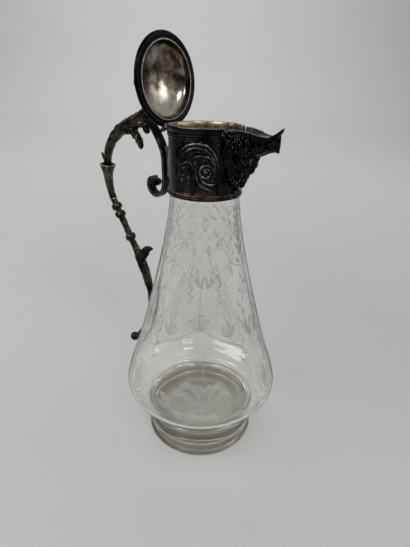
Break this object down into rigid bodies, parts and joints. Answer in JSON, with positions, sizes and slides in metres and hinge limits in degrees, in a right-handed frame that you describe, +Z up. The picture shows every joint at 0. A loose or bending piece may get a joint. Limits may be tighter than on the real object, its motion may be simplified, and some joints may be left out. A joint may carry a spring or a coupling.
{
  "type": "claret jug",
  "caption": "Tall waisted clear glass jug with a scrolled metal mount and pouring lip, a branch-shaped handle on a scroll bracket, and a domed lid on a pin hinge.",
  "frame": {"origin": "centre of the glass foot's flat underside", "axes": "+Z up along the glass body, +X towards the pouring lip, the handle on -X, and the XZ plane is the plane of symmetry; the lid is open at rest"},
  "size_m": [0.1542, 0.1132, 0.2821],
  "materials": {
    "clear_glass": "clear blown glass with an etched pattern",
    "plaster": "set plaster, hidden in the mount",
    "tarnished_plate": "silver plate, oxidised almost black, worn bright on edges",
    "copper_wear": "plate worn through to pinkish base metal",
    "gilt_lining": "gilded, rubbed",
    "satin_plate": "satin silver plate, grey",
    "bright_plate": "polished silver plate with brown tarnish",
    "brown_patina": "cast, brown-black patina with rubbed ridges",
    "pin_steel": "drawn wire"
  },
  "bodies": {
    "jug": {"glass_body": "clear_glass", "plaster_seat": "plaster", "mount_sleeve": "tarnished_plate", "mount_foot_moulding": "copper_wear", "mount_top_moulding": "tarnished_plate", "rim_liner": "gilt_lining", "side_panel_near": "tarnished_plate", "side_panel_far": "tarnished_plate", "panel_scrolls_near": "tarnished_plate", "panel_scrolls_far": "tarnished_plate", "pouring_lip": "satin_plate", "lip_leaf": "tarnished_plate", "lip_ornament": "tarnished_plate", "ornament_drop": "copper_wear", "bracket_web": "tarnished_plate", "bracket_band": "tarnished_plate", "bracket_eye": "tarnished_plate", "bracket_buds": "tarnished_plate", "handle_branch": "brown_patina", "branch_twigs": "brown_patina", "branch_spur": "brown_patina", "handle_sleeve": "brown_patina", "handle_stem": "brown_patina", "stem_knots": "brown_patina", "leaf_spur": "brown_patina", "handle_tail": "brown_patina", "tail_knob": "brown_patina", "hinge_knuckles": "tarnished_plate", "hinge_pin": "pin_steel"},
    "lid": {"lid_knuckle": "tarnished_plate", "thumb_lug": "tarnished_plate", "lid_ring": "tarnished_plate", "lid_bezel": "bright_plate", "lid_dome": "tarnished_plate", "finial_seat": "tarnished_plate", "finial_button": "tarnished_plate"}
  },
  "joints": [
    {"name": "lid_hinge", "type": "hinge", "parent": "jug", "child": "lid", "pos_m": [-0.0255, 0, 0.2298], "axis": [0, 1, 0], "range_deg": [0, 94]}
  ]
}
